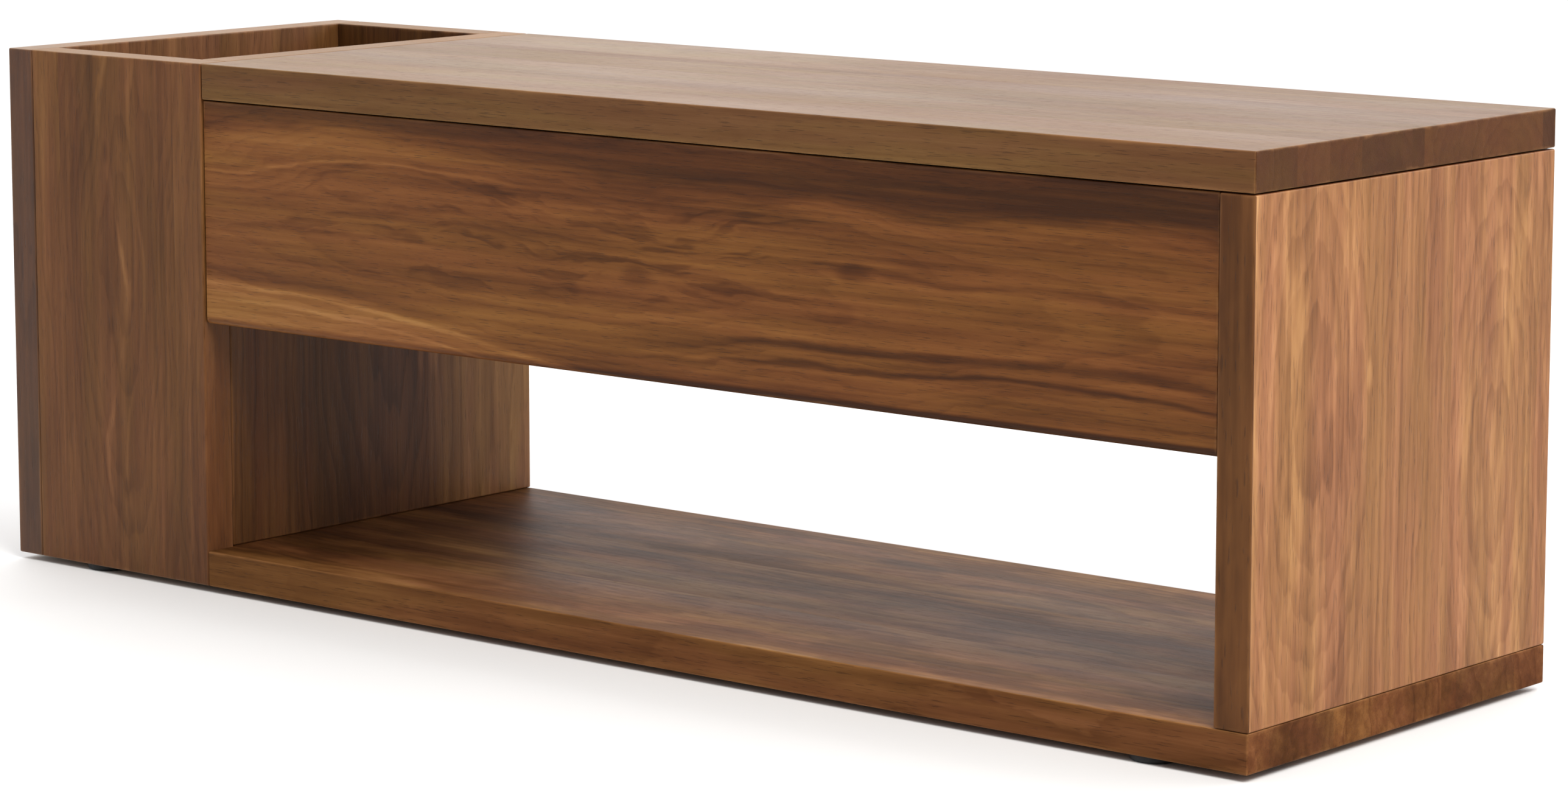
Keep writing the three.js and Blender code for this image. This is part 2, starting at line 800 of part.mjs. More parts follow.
for (const lifter of lifters) {
  const inward = lifterAxis(lifter);
  const outward = inward.clone().negate();
  addPiece(`${lifter.name}_base_bracket`, baseBracket(lifter), blackSteel());
  addPiece(`${lifter.name}_lid_bracket`, lidBracket(lifter), blackSteel());

  const arms = { front_arm: [baseFront, lidFront], rear_arm: [baseRear, lidRear] };
  for (const [arm, pivots] of Object.entries(arms)) {
    const solid = plate(
      armOutline(pivots[0], pivots[1]),
      pivotHoles(pivots),
      inwardFrom(lifter, ARM_FROM),
      inwardFrom(lifter, ARM_TO),
    );
    addPiece(`${lifter.name}_${arm}`, solid, blackSteel());
  }

  addPiece(`${lifter.name}_base_pin_front`, basePin(lifter, baseFront, false), steel());
  addPiece(`${lifter.name}_base_pin_rear`, basePin(lifter, baseRear, true), steel());
  addPiece(`${lifter.name}_lid_pin_front`, lidPin(lifter, lidFront), steel());
  addPiece(`${lifter.name}_lid_pin_rear`, lidPin(lifter, lidRear), steel());
  addPiece(`${lifter.name}_lift_spring`, torsionSpring(lifter), springSteel());

  const bushProfile = [
    [STOP_POST_RADIUS + HOLE_CLEARANCE, PLATE_TO + SEAM],
    [STOP_BUSH_RADIUS, PLATE_TO + SEAM],
    [STOP_BUSH_RADIUS, ARM_TO + 1],
    [STOP_POST_RADIUS + HOLE_CLEARANCE, ARM_TO + 1],
    [STOP_POST_RADIUS + HOLE_CLEARANCE, PLATE_TO + SEAM],
  ];
  addPiece(
    `${lifter.name}_stop_bush`,
    turned(bushProfile, wallPoint(lifter, stopPost), inward),
    rubber(),
  );

  wallScrews.forEach((spot, i) => {
    const solid = screw(wallScrewHead(lifter, spot), outward);
    addPiece(`${lifter.name}_base_screw_${i + 1}`, solid, steel());
  });
  lidScrewYs.forEach((y, i) => {
    addPiece(`${lifter.name}_lid_screw_${i + 1}`, screw(lidScrewHead(lifter, y), UP), steel());
  });
}

export default table;
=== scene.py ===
"""Lift top coffee table in walnut: the looks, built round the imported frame."""

import json
import math

import bmesh
import bpy
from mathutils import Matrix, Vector

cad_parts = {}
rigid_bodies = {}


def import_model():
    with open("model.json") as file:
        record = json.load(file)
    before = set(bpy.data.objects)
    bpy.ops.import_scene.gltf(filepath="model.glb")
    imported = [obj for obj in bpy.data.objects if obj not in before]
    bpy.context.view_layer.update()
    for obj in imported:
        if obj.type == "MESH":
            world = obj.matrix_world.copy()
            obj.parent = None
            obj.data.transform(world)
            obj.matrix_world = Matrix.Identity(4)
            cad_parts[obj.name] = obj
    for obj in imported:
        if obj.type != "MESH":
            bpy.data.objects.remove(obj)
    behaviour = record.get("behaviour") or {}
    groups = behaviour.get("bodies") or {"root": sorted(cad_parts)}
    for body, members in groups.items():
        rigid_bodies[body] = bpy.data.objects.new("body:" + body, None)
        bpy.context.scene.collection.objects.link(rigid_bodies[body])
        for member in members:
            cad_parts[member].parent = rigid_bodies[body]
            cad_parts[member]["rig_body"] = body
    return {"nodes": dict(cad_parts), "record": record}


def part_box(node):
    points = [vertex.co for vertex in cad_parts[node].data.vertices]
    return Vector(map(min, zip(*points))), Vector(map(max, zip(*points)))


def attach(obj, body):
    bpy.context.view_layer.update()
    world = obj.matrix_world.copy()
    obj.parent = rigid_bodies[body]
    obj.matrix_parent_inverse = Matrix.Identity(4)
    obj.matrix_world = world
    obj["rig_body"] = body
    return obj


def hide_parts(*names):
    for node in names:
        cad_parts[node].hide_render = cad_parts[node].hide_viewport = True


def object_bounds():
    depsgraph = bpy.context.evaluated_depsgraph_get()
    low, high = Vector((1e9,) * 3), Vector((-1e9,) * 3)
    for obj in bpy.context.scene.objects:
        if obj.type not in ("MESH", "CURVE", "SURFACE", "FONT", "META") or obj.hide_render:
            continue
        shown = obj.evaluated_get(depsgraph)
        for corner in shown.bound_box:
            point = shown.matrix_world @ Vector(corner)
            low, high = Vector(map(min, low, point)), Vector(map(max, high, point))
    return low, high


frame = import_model()
cad_lo, cad_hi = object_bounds()

MM = 0.001
X, Y, Z = 0, 1, 2

# Edges sharper than SHARP are rounded over; SEAM is the gap round the foot of the pillar.
SHARP = math.radians(35)
BOARD_ROUND = 1.3 * MM
APRON_ROUND = 1.0 * MM
APRON_LOWER_ROUND = 4 * MM
FITTING_ROUND = 0.3 * MM
SEAM = 0.3 * MM
# In a fitting, corners closer than WELD are merged, and edges flatter than FLAT are dissolved.
WELD = 0.001 * MM
FLAT = 0.01

# Colours that are the same on every walnut board.
CAST_RED, CAST_YELLOW = "fff0e3", "fffbd9"
PORE = "2a170c"
END_DARK, END_LIGHT = "7a5834", "bf9a6e"
RIM = "96775a"
# Pale colour along the arrises: worn wood and a painted edge highlight.
WORN_HIGHLIGHT = "b07c4c"


# ------------------------------------------------------------------ node graphs


def linear(code):
    """A colour written as six hex digits, as linear RGBA."""
    parts = [int(code[i : i + 2], 16) / 255 for i in (0, 2, 4)]
    curve = [p / 12.92 if p <= 0.04045 else ((p + 0.055) / 1.055) ** 2.4 for p in parts]
    return (*curve, 1.0)


class Graph:
    """A material under construction, with short names for the nodes it uses."""

    def __init__(self, name):
        self.material = bpy.data.materials.new(name)
        self.material.use_nodes = True
        self.tree = self.material.node_tree
        self.tree.nodes.clear()
        self.shader = self.node("ShaderNodeBsdfPrincipled")
        out = self.node("ShaderNodeOutputMaterial")
        self.tree.links.new(self.shader.outputs[0], out.inputs[0])
        coords = self.node("ShaderNodeTexCoord")
        self.place = self.split(coords.outputs["Object"])
        self.facing = self.split(coords.outputs["Normal"])

    def node(self, kind, **settings):
        made = self.tree.nodes.new(kind)
        for key, value in settings.items():
            setattr(made, key, value)
        return made

    def feed(self, socket, value):
        """Joins a socket to another one, or sets it to a constant."""
        if isinstance(value, bpy.types.NodeSocket):
            self.tree.links.new(value, socket)
        else:
            socket.default_value = value

    def split(self, vector):
        made = self.node("ShaderNodeSeparateXYZ")
        self.feed(made.inputs[0], vector)
        return list(made.outputs)

    def join(self, x, y, z):
        made = self.node("ShaderNodeCombineXYZ")
        for socket, value in zip(made.inputs, (x, y, z)):
            self.feed(socket, value)
        return made.outputs[0]

    def math(self, operation, *values, clamp=False):
        made = self.node("ShaderNodeMath", operation=operation, use_clamp=clamp)
        for socket, value in zip(made.inputs, values):
            self.feed(socket, value)
        return made.outputs[0]

    def add(self, a, b):
        return self.math("ADD", a, b)

    def sub(self, a, b):
        return self.math("SUBTRACT", a, b)

    def mul(self, a, b):
        return self.math("MULTIPLY", a, b)

    def fade(self, value, low, high, to_low=0.0, to_high=1.0):
        """A smooth step from to_low, where value is low, to to_high, where it is high."""
        made = self.node("ShaderNodeMapRange", interpolation_type="SMOOTHSTEP")
        for socket, item in zip(made.inputs, (value, low, high, to_low, to_high)):
            self.feed(socket, item)
        return made.outputs[0]

    def noise(self, vector, scale=1.0, detail=2.0, roughness=0.5):
        made = self.node("ShaderNodeTexNoise", noise_dimensions="3D")
        self.feed(made.inputs["Vector"], vector)
        made.inputs["Scale"].default_value = scale
        made.inputs["Detail"].default_value = detail
        made.inputs["Roughness"].default_value = roughness
        return made.outputs[0]

    def chance(self, number):
        """Three random numbers that hold for one whole number."""
        made = self.node("ShaderNodeTexWhiteNoise", noise_dimensions="1D")
        self.feed(made.inputs["W"], number)
        return self.split(made.outputs["Color"])

    def ramp(self, value, stops):
        """A colour ramp through (position, six hex digits) stops."""
        made = self.node("ShaderNodeValToRGB")
        made.color_ramp.interpolation = "B_SPLINE"
        elements = made.color_ramp.elements
        while len(elements) < len(stops):
            elements.new(0.5)
        for element, (at, colour) in zip(elements, stops):
            element.position = at
            element.color = linear(colour)
        self.feed(made.inputs[0], value)
        return made.outputs[0]

    def blend(self, factor, a, b, kind="MIX"):
        made = self.node("ShaderNodeMix", data_type="RGBA", blend_type=kind)
        self.feed(made.inputs[0], factor)
        self.feed(made.inputs[6], a)
        self.feed(made.inputs[7], b)
        return made.outputs[2]

    def finish(self, colour, roughness, height, relief, metallic=0.0):
        """The material itself; relief is how deep the bumps of height are, in metres."""
        self.feed(self.shader.inputs["Base Color"], colour)
        self.feed(self.shader.inputs["Roughness"], roughness)
        self.shader.inputs["Metallic"].default_value = metallic
        bump = self.node("ShaderNodeBump")
        bump.inputs["Strength"].default_value = 1.0
        bump.inputs["Distance"].default_value = relief
        self.feed(bump.inputs["Height"], height)
        self.feed(self.shader.inputs["Normal"], bump.outputs[0])
        return self.material


# ------------------------------------------------------------------ walnut


# A plain board. Each row of BOARDS gives only what is different on its own board.
PLAIN = dict(
    # Each stave is (where it starts across the width, where its growth rings close across and
    # along, its lift in tone), in metres from the middle of the board.
    staves=[(0.0, 0.0, 0.0, 0.0)],
    # How far the grain strays sideways, in slow bends and in ripples.
    sway=0.060,
    ripple=0.016,
    # Growth rings: how drawn out, how far from the middle their pith is, how wide and how dark.
    stretch=9.0,
    pith=0.03,
    ring=0.008,
    ring_depth=0.14,
    # Lighter and darker wood, from broad clouds to fine streaks.
    broad=0.55,
    flame=0.42,
    streak=0.35,
    # How fast the figure changes through the thickness of the board.
    calm=1.0,
    # The board's own figure: paint(graph, along, wide, wander) is added to the tone.
    paint=None,
    # Faces at the sides of the width: their lift in tone, and how far the rings fade there.
    edge_tone=0.0,
    edge_calm=0.0,
    # Faces at the ends of the fibres: the share of darker end grain, and the share of RIM.
    end=1.0,
    rim=0.0,
    roughness=0.42,
    gloss=0.14,
)


class Walnut(Graph):
    """The wood of one board. grain and across are the axes of its fibres and of its width."""

    def __init__(self, name, node, grain, across, seed, tones, **look):
        super().__init__(name)
        self.seed, self.stops = seed, tones
        self.look = {**PLAIN, **look}
        self.starts, self.close_across, self.close_along, self.lifts = zip(*self.look["staves"])
        lo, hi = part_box(node)
        axes = (grain, across, 3 - grain - across)
        self.halves = [(hi[i] - lo[i]) / 2 for i in axes]
        self.along, self.wide, self.deep = (
            self.sub(self.place[i], (lo[i] + hi[i]) / 2) for i in axes
        )
        self.end = self.fade(self.math("ABSOLUTE", self.facing[grain]), 0.55, 0.9)
        self.side = self.fade(self.math("ABSOLUTE", self.facing[across]), 0.6, 0.95)
        numbers = [float(i) for i in range(len(self.starts))]
        own = self.mul(self.by_stave(numbers), 3.7)
        self.shifted = self.add(self.add(self.along, seed * 1.37), own)

    def by_stave(self, values):
        """A value that changes from stave to stave across the width of the board."""
        value = values[0]
        for start, before, after in zip(self.starts[1:], values, values[1:]):
            step = self.math("GREATER_THAN", self.wide, start)
            value = self.add(value, self.mul(step, after - before))
        return value

    def field(self, long_scale, cross_scale, detail=2.0, roughness=0.5, lift=0.0):
        """Noise drawn out along the fibres; a lift of its own keeps it apart from the others."""
        vector = self.join(
            self.mul(self.shifted, long_scale),
            self.add(self.mul(self.wide, cross_scale), self.seed + lift),
            self.mul(self.deep, cross_scale * self.look["calm"]),
        )
        return self.sub(self.noise(vector, 1.0, detail, roughness), 0.5)

    def rings(self, wander):
        """Dark lines where the growth rings round the pith are cut, each with its own force."""
        look = self.look
        from_close = self.sub(self.along, self.by_stave(self.close_along))
        parts = (
            self.math("DIVIDE", from_close, look["stretch"]),
            self.sub(self.add(self.wide, wander), self.by_stave(self.close_across)),
            self.add(self.deep, look["pith"]),
        )
        squares = [self.mul(part, part) for part in parts]
        radius = self.math("SQRT", self.add(self.add(squares[0], squares[1]), squares[2]))
        phase = self.math("DIVIDE", radius, look["ring"])
        phase = self.add(phase, self.mul(self.field(5.0, 70.0, lift=9.0), 1.1))
        within = self.math("FRACT", phase)
        line = self.mul(self.fade(within, 0.30, 0.90), self.fade(within, 0.90, 1.0, 1.0, 0.0))
        force = self.chance(self.math("FLOOR", phase))[0]
        line = self.mul(line, self.fade(force, 0.0, 1.0, 0.2, 1.0))
        return self.mul(line, self.sub(1.0, self.mul(self.side, look["edge_calm"])))

    def tone(self, wander, ring_line, flame, fibre):
        """How light the wood is, from 0 to 1."""
        look = self.look
        broad = self.field(2.0, 18.0, 3.0, 0.6, lift=2.0)
        streak = self.field(1.4, 150.0, 2.0, 0.6, lift=7.0)
        tone = self.add(0.5, self.mul(broad, look["broad"]))
        tone = self.add(tone, self.mul(flame, look["flame"]))
        tone = self.add(tone, self.mul(streak, look["streak"]))
        tone = self.sub(tone, self.mul(ring_line, look["ring_depth"]))
        tone = self.add(tone, self.mul(fibre, 0.16))
        tone = self.add(tone, self.by_stave(self.lifts))
        tone = self.add(tone, self.mul(self.side, look["edge_tone"]))
        if look["paint"]:
            tone = self.add(tone, look["paint"](self, self.along, self.wide, wander))
        return self.math("ADD", tone, 0.0, clamp=True)

    def with_ends(self, colour):
        """The colour with the ends of the fibres darker, in the blocks that are glued together."""
        glued = self.chance(self.math("FLOOR", self.add(self.mul(self.wide, 13.0), self.seed)))[0]
        cloudy = self.noise(self.join(self.mul(self.wide, 14.0), self.seed, 0.0), 1.0, 0.0)
        blocks = self.add(self.mul(glued, 0.7), self.mul(cloudy, 0.3))
        darker = self.blend(blocks, linear(END_DARK), linear(END_LIGHT))
        ended = self.blend(1.0, colour, darker, "MULTIPLY")
        colour = self.blend(self.mul(self.end, self.look["end"]), colour, ended)
        return self.blend(self.mul(self.end, self.look["rim"]), colour, linear(RIM))

    def wear_and_highlight(self, ripple, flame):
        """One along the arrises, where two faces of the board are near: worn wood and a painted
        highlight on the rounded edges.
        """
        reach = [
            self.sub(half, self.math("ABSOLUTE", part))
            for half, part in zip(self.halves, (self.along, self.wide, self.deep))
        ]
        lesser = self.math("MINIMUM", reach[0], reach[1])
        greater = self.math("MAXIMUM", reach[0], reach[1])
        from_edge = self.math("MAXIMUM", lesser, self.math("MINIMUM", greater, reach[2]))
        from_edge = self.add(from_edge, self.mul(ripple, 0.006))
        near = self.fade(from_edge, 0.0002, 0.0026, 1.0, 0.0)
        return self.mul(near, self.fade(flame, -0.12, 0.18))

    def build(self):
        """The finished material."""
        look = self.look
        slow = self.field(2.6, 9.0)
        ripple = self.field(12.0, 42.0, 3.0, 0.6, lift=5.0)
        wander = self.add(self.mul(slow, look["sway"]), self.mul(ripple, look["ripple"]))
        ring_line = self.rings(wander)
        flame = self.field(7.0, 55.0, 4.0, 0.62, lift=3.0)
        fibre = self.field(14.0, 900.0, 3.0, 0.65, lift=4.0)
        pores = self.fade(self.field(60.0, 1500.0, 1.0, 0.5, lift=6.0), 0.13, 0.24)

        colour = self.ramp(self.tone(wander, ring_line, flame, fibre), self.stops)
        hue = self.field(3.0, 26.0, 3.0, 0.6, lift=8.0)
        cast = self.blend(self.fade(hue, -0.14, 0.14), linear(CAST_RED), linear(CAST_YELLOW))
        colour = self.blend(1.0, colour, cast, "MULTIPLY")
        colour = self.blend(self.mul(pores, 0.40), colour, linear(PORE))
        colour = self.with_ends(colour)
        wear_and_highlight = self.wear_and_highlight(ripple, flame)
        # Pale along the arrises: wear, and a painted highlight on the rounded edges.
        colour = self.blend(self.mul(wear_and_highlight, 0.22), colour, linear(WORN_HIGHLIGHT))

        roughness = self.add(look["roughness"], self.mul(fibre, 0.20))
        roughness = self.add(roughness, self.mul(slow, 0.22))
        roughness = self.add(roughness, self.mul(self.end, 0.16))
        roughness = self.sub(roughness, self.mul(wear_and_highlight, 0.05))
        height = self.sub(self.mul(fibre, 0.5), pores)
        height = self.sub(height, self.mul(ring_line, 0.25))
        self.shader.inputs["Specular IOR Level"].default_value = look["gloss"]
        return self.finish(colour, roughness, height, 0.00022)


def band(g, value, centre, half, soft):
    """One along a line and nothing away from it."""
    away = g.math("ABSOLUTE", g.sub(value, centre))
    return g.fade(away, half, half + soft, 1.0, 0.0)


def spot(g, u, v, centre, radii):
    """One at a point of a board and nothing beyond an oval round it."""
    steps = [g.math("DIVIDE", g.sub(a, c), r) for a, c, r in zip((u, v), centre, radii)]
    far = g.math("SQRT", g.add(g.mul(steps[0], steps[0]), g.mul(steps[1], steps[1])))
    return g.fade(far, 0.25, 1.0, 1.0, 0.0)


def apron_figure(g, along, up, wander):
    """Dark heartwood along the top, sapwood at the lower left, streaks low on the right, and
    painted shade along the rounded lower edge.

    u runs from 0 to 1 along the apron and v from 0 to 1 up it; calm_v follows the grain less.
    """
    lo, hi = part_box("front_apron")
    length, height = hi[0] - lo[0], hi[2] - lo[2]
    u = g.add(g.math("DIVIDE", along, length), 0.5)
    v = g.add(g.math("DIVIDE", g.add(up, g.mul(wander, 0.55)), height), 0.5)
    calm_v = g.add(g.math("DIVIDE", g.add(up, g.mul(wander, 0.25)), height), 0.5)

    heart_from = g.sub(1.0, g.add(0.07, g.mul(g.fade(u, 0.05, 0.8), 0.11)))
    heart = g.mul(g.fade(g.sub(v, heart_from), -0.09, 0.05), g.fade(u, 0.04, 0.60, 0.75, 1.0))
    sap_top = g.sub(0.20, g.mul(g.fade(u, 0.08, 0.56), 0.24))
    sap = g.fade(g.sub(calm_v, sap_top), -0.012, 0.008, 1.0, 0.0)
    sap_line = band(g, calm_v, g.sub(sap_top, 0.020), 0.004, 0.014)
    sap_line = g.add(sap_line, band(g, calm_v, g.sub(sap_top, 0.085), 0.0, 0.014))
    above_sap = band(g, calm_v, g.add(sap_top, 0.035), 0.006, 0.030)
    above_sap = g.mul(above_sap, g.fade(u, 0.0, 0.6, 1.0, 0.0))
    gold = g.mul(band(g, v, 0.84, 0.03, 0.05), g.fade(u, 0.0, 0.32, 1.0, 0.0))
    thread = band(g, v, g.add(0.745, g.mul(u, 0.03)), 0.0, 0.016)
    thread = g.mul(thread, g.fade(u, 0.3, 0.45, 1.0, 0.0))
    glow = spot(g, u, v, (0.74, 0.76), (0.22, 0.06))

    low_line = g.add(0.245, g.mul(g.math("SINE", g.mul(u, 9.0)), 0.035))
    streaks = band(g, v, low_line, 0.006, 0.028)
    streaks = g.add(streaks, band(g, v, g.sub(low_line, 0.085), 0.0, 0.022))
    streaks = g.mul(streaks, g.fade(u, 0.42, 0.62))
    upper = g.mul(band(g, v, g.sub(0.62, g.mul(u, 0.10)), 0.0, 0.022), g.fade(u, 0.55, 0.7))
    knots = spot(g, u, v, (0.68, 0.53), (0.024, 0.055))
    knots = g.add(knots, spot(g, u, v, (0.47, 0.45), (0.022, 0.06)))
    dashes = g.noise(g.join(g.mul(along, 15.0), 6.4, g.mul(g.add(up, wander), 130.0)), 1.0, 2.0)
    middle = g.mul(band(g, u, 0.36, 0.20, 0.16), band(g, v, 0.54, 0.14, 0.14))
    dashes = g.mul(g.fade(dashes, 0.54, 0.66), middle)
    # Painted shade on the rounded lower edge, which faces down; it is stronger towards the right.
    arris = g.fade(up, -height / 2 + 0.003, -height / 2 + 0.007, 1.0, 0.0)

    lift = g.add(g.mul(sap, 0.13), g.mul(gold, 0.10))
    lift = g.add(lift, g.mul(g.mul(sap_line, sap), 0.14))
    lift = g.add(lift, g.fade(u, 0.30, 0.90, 0.05, -0.09))
    lift = g.add(lift, g.add(g.mul(thread, 0.20), g.mul(glow, 0.11)))
    drop = g.add(g.mul(heart, 0.38), g.mul(above_sap, 0.12))
    drop = g.add(drop, g.add(g.mul(streaks, 0.26), g.mul(upper, 0.16)))
    drop = g.add(drop, g.add(g.mul(knots, 0.20), g.mul(dashes, 0.17)))
    drop = g.add(drop, g.mul(arris, g.fade(u, 0.1, 0.6, 0.25, 0.60)))
    return g.sub(lift, drop)


def pillar_figure(g, along, wide, wander):
    """Two pale wavy lines down the middle of the panel, with three small knots beside them."""
    curve = g.add(g.mul(g.math("SINE", g.add(g.mul(along, 24.0), 1.2)), 0.013), wander)
    first = band(g, wide, g.add(curve, -0.006), 0.0004, 0.0035)
    second = band(g, wide, g.add(g.mul(curve, 0.7), 0.016), 0.0003, 0.003)
    come_and_go = g.fade(g.math("SINE", g.mul(along, 41.0)), -0.6, 0.7, 0.25, 1.0)
    lines = g.mul(g.add(g.mul(first, 0.20), g.mul(second, 0.15)), come_and_go)
    knots = spot(g, wide, along, (-0.014, 0.13), (0.006, 0.013))
    knots = g.add(knots, spot(g, wide, along, (-0.010, -0.01), (0.005, 0.011)))
    knots = g.add(knots, spot(g, wide, along, (0.006, -0.14), (0.007, 0.013)))
    return g.sub(lines, g.mul(knots, 0.12))


def divider_painted_light_and_curls(g, along, wide, wander):
    """Painted shade just in front of the middle, painted light from behind on the back part, and a
    few pale curls of figure.
    """
    place = g.add(wide, wander)
    # Painted shade: darker just in front of the middle of the face.
    dark = g.mul(g.fade(place, -0.14, -0.09), g.fade(place, 0.0, 0.10, 1.0, 0.0))
    # Painted light: paler towards the back edge, where light comes in from behind.
    pale = g.fade(place, 0.01, 0.15)
    bent = g.add(wide, g.mul(wander, 1.6))
    curls = spot(g, bent, along, (0.052, 0.03), (0.007, 0.030))
    curls = g.add(curls, spot(g, bent, along, (0.040, -0.06), (0.008, 0.034)))
    curls = g.add(curls, spot(g, bent, along, (-0.020, -0.02), (0.005, 0.030)))
    return g.sub(g.add(g.mul(pale, 0.36), g.mul(curls, 0.22)), g.mul(dark, 0.10))


def shelf_figure_and_shade(g, along, wide, wander):
    """Blotches of light and dark on the upper face, and painted shade beside the divider."""
    lo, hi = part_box("base_board")
    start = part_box("divider_panel")[1][0] - (lo[0] + hi[0]) / 2
    # Painted shade: darker on the upper face near the foot of the divider.
    beside = g.fade(g.sub(along, start), 0.0, 0.26, 1.0, 0.0)
    vector = g.join(g.mul(along, 11.0), g.mul(g.add(wide, wander), 34.0), 4.2)
    blotch = g.fade(g.noise(vector, 1.0, 3.0, 0.55), 0.38, 0.62, -0.5, 0.5)
    figure = g.sub(g.mul(blotch, 0.22), g.mul(beside, 0.30))
    return g.mul(figure, g.fade(g.facing[Z], 0.5, 0.9))


def lid_painted_sheen(g, along, wide, wander):
    """Painted sheen: the upper face is a little lighter at its left end and a little darker towards
    its right end.
    """
    # Painted sheen: lighter at the left and darker at the right, following the glare on the top.
    return g.mul(g.fade(along, -0.35, 0.40, 0.05, -0.08), g.fade(g.facing[Z], 0.5, 0.9))


def end_figure_and_shade(g, along, wide, wander):
    """Leaf shapes in the outer thirds, a fleck, a pale strip at the front, and a dark front edge
    that is partly darker edge wood and partly painted shade.
    """
    lo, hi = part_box("right_end_panel")
    from_front = g.add(wide, (hi[1] - lo[1]) / 2)
    # Darker front edge: partly the edge wood, partly painted shade of the face turned away from the
    # light.
    front = g.fade(from_front, 0.0012, 0.0022, 1.0, 0.0)
    strip = g.fade(from_front, 0.010, 0.016, 1.0, 0.0)
    thirds = g.fade(g.math("ABSOLUTE", wide), 0.035, 0.075)
    vector = g.join(g.mul(along, 13.0), g.mul(g.add(wide, wander), 105.0), 2.6)
    leaf = g.fade(g.noise(vector, 1.0, 2.0, 0.55), 0.42, 0.66, -0.25, 0.75)
    fleck = spot(g, wide, along, (-0.048, 0.045), (0.005, 0.016))
    figure = g.add(g.mul(g.mul(leaf, thirds), 0.17), g.mul(strip, 0.08))
    figure = g.add(figure, g.mul(fleck, 0.24))
    return g.add(g.mul(figure, g.sub(1.0, front)), g.mul(front, -0.47))


# ------------------------------------------------------------------ boards


def add_to_scene(name, data):
    made = bpy.data.objects.new(name, data)
    bpy.context.scene.collection.objects.link(made)
    return made


def smooth_piece(name, bm):
    """An object made of a finished bmesh, shaded smooth with its large faces kept flat."""
    for face in bm.faces:
        face.smooth = True
    mesh = bpy.data.meshes.new(name)
    bm.to_mesh(mesh)
    bm.free()
    piece = add_to_scene(name, mesh)
    flat = piece.modifiers.new("even_faces", "WEIGHTED_NORMAL")
    flat.keep_sharp = True
    flat.weight = 100
    return piece


def prism(name, outline, axis, low, high, radius):
    """A flat outline made solid along an axis, with its sharp arrises rounded over."""
    others = [i for i in (X, Y, Z) if i != axis]
    bm = bmesh.new()
    rings = []
    for level in (low, high):
        ring = []
        for pair in outline:
            corner = [level] * 3
            corner[others[0]], corner[others[1]] = pair
            ring.append(bm.verts.new(corner))
        rings.append(ring)
    count = len(outline)
    for i in range(count):
        j = (i + 1) % count
        bm.faces.new((rings[0][i], rings[0][j], rings[1][j], rings[1][i]))
    bm.faces.new(rings[0])
    bm.faces.new(rings[1])
    bmesh.ops.recalc_face_normals(bm, faces=bm.faces)
    sharp = [edge for edge in bm.edges if edge.calc_face_angle() > SHARP]
    bmesh.ops.bevel(bm, geom=sharp, offset=radius, segments=4, profile=0.5, affect="EDGES")
    return smooth_piece(name, bm)


def rectangle(lo, hi, axis):
    """The outline of a box seen along an axis."""
    a, b = [i for i in (X, Y, Z) if i != axis]
    return [(lo[a], lo[b]), (hi[a], lo[b]), (hi[a], hi[b]), (lo[a], hi[b])]


def base_outline(lo, hi):
    """The base board's outline, notched round the foot of the pillar's front panel."""
    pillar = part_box("pillar_front_panel")
    x, y = pillar[1][0] + SEAM, pillar[1][1] + SEAM
    return [(lo[0], y), (x, y), (x, lo[1]), (hi[0], lo[1]), (hi[0], hi[1]), (lo[0], hi[1])]


def apron_outline(lo, hi):
    """The front apron's section, with a fuller round on its lower outer edge."""
    points = [(hi[1], lo[2]), (hi[1], hi[2]), (lo[1], hi[2])]
    for degrees in range(180, 271, 15):
        angle = math.radians(degrees)
        y = lo[1] + APRON_LOWER_ROUND * (1 + math.cos(angle))
        z = lo[2] + APRON_LOWER_ROUND * (1 + math.sin(angle))
        points.append((y, z))
    return points


def fit_board(name, node, body, material):
    """A board with softly rounded arrises that stands for a CAD board."""
    lo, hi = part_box(node)
    if node == "base_board":
        piece = prism(name, base_outline(lo, hi), Z, lo[2], hi[2], BOARD_ROUND)
    elif node == "front_apron":
        piece = prism(name, apron_outline(lo, hi), X, lo[0], hi[0], APRON_ROUND)
    else:
        piece = prism(name, rectangle(lo, hi, Z), Z, lo[2], hi[2], BOARD_ROUND)
    piece.data.materials.append(material)
    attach(piece, body)
    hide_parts(node)


def toned(colours):
    """A ramp from the darkest heartwood to the palest sapwood."""
    return list(zip((0.0, 0.30, 0.55, 0.78, 1.0), colours.split()))


WARM = toned("2e1605 573213 744924 875b30 a87b50")
BROWN = toned("2e190b 4e301a 694529 80593a a37a55")
PALE = toned("341a07 704829 906444 a87b57 c9a07a")
TOP = toned("362211 604129 795d3f 896f51 a68768")

